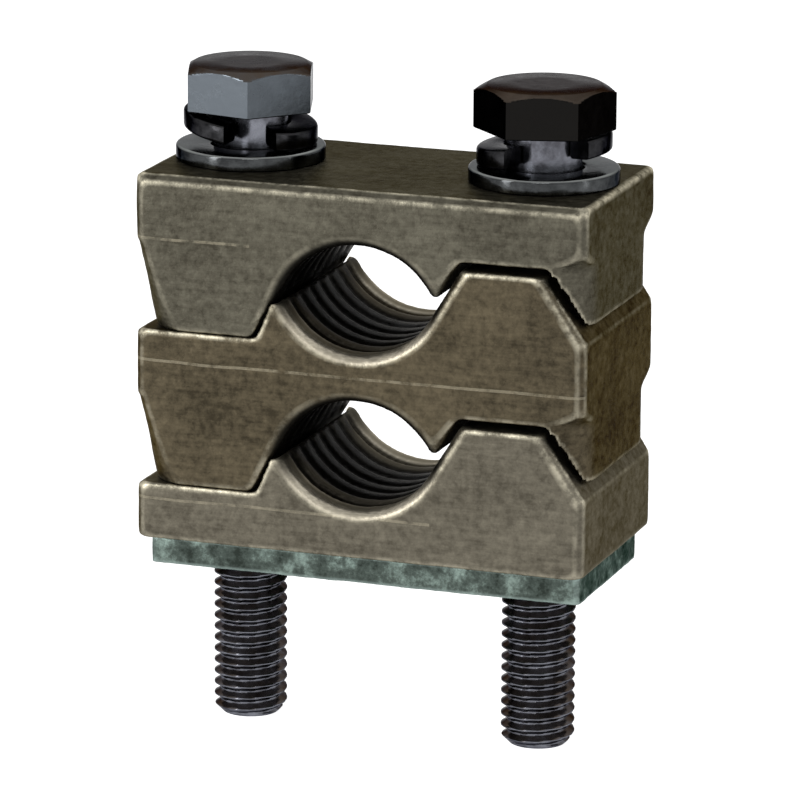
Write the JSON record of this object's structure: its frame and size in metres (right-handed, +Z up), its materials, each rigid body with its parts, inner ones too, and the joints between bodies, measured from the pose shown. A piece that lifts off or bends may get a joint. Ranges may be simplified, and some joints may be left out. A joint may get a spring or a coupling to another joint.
{
  "type": "double parallel groove clamp",
  "caption": "Stacked cast parallel groove clamp: grips conductors one above the other between hexagon bolts screwed into a tapped steel plate.",
  "frame": {"origin": "midway between the two bolts, level with their lower ends", "axes": "+Z up along the bolts, +Y along the conductors towards the back, +X to the right across the two bolts"},
  "size_m": [0.0502, 0.0244, 0.0718],
  "materials": {
    "castings": "tinned, as cast",
    "plate": "zinc plated, mottled",
    "bolts": "zinc plated, dark",
    "flat_washers": "zinc plated, dark",
    "spring_washers": "zinc plated, dark"
  },
  "bodies": {
    "base": {"lower_casting": "castings", "backing_plate": "plate"},
    "middle": {"middle_casting": "castings"},
    "top": {"upper_casting": "castings", "flat_washer_left": "flat_washers", "flat_washer_right": "flat_washers", "spring_washer_left": "spring_washers", "spring_washer_right": "spring_washers"},
    "left_screw": {"bolt_left": "bolts"},
    "right_screw": {"bolt_right": "bolts"}
  },
  "joints": [
    {"name": "middle_lift", "type": "slide", "parent": "base", "child": "middle", "axis": [0, 0, 1], "range_m": [0, 0.00625]},
    {"name": "upper_lift", "type": "slide", "parent": "middle", "child": "top", "axis": [0, 0, 1], "range_m": [0, 0.00625]},
    {"name": "left_turn", "type": "hinge", "parent": "top", "child": "left_screw", "pos_m": [-0.01645, 0, 0.06], "axis": [0, 0, 1], "range_deg": [0, 3600]},
    {"name": "right_turn", "type": "hinge", "parent": "top", "child": "right_screw", "pos_m": [0.01645, 0, 0.06], "axis": [0, 0, 1], "range_deg": [0, 3600]}
  ],
  "couplings": [
    {"joint": "upper_lift", "follows": "middle_lift", "ratio": 1},
    {"joint": "left_turn", "follows": "middle_lift", "rad_per_m": 10053},
    {"joint": "right_turn", "follows": "middle_lift", "rad_per_m": 10053}
  ]
}
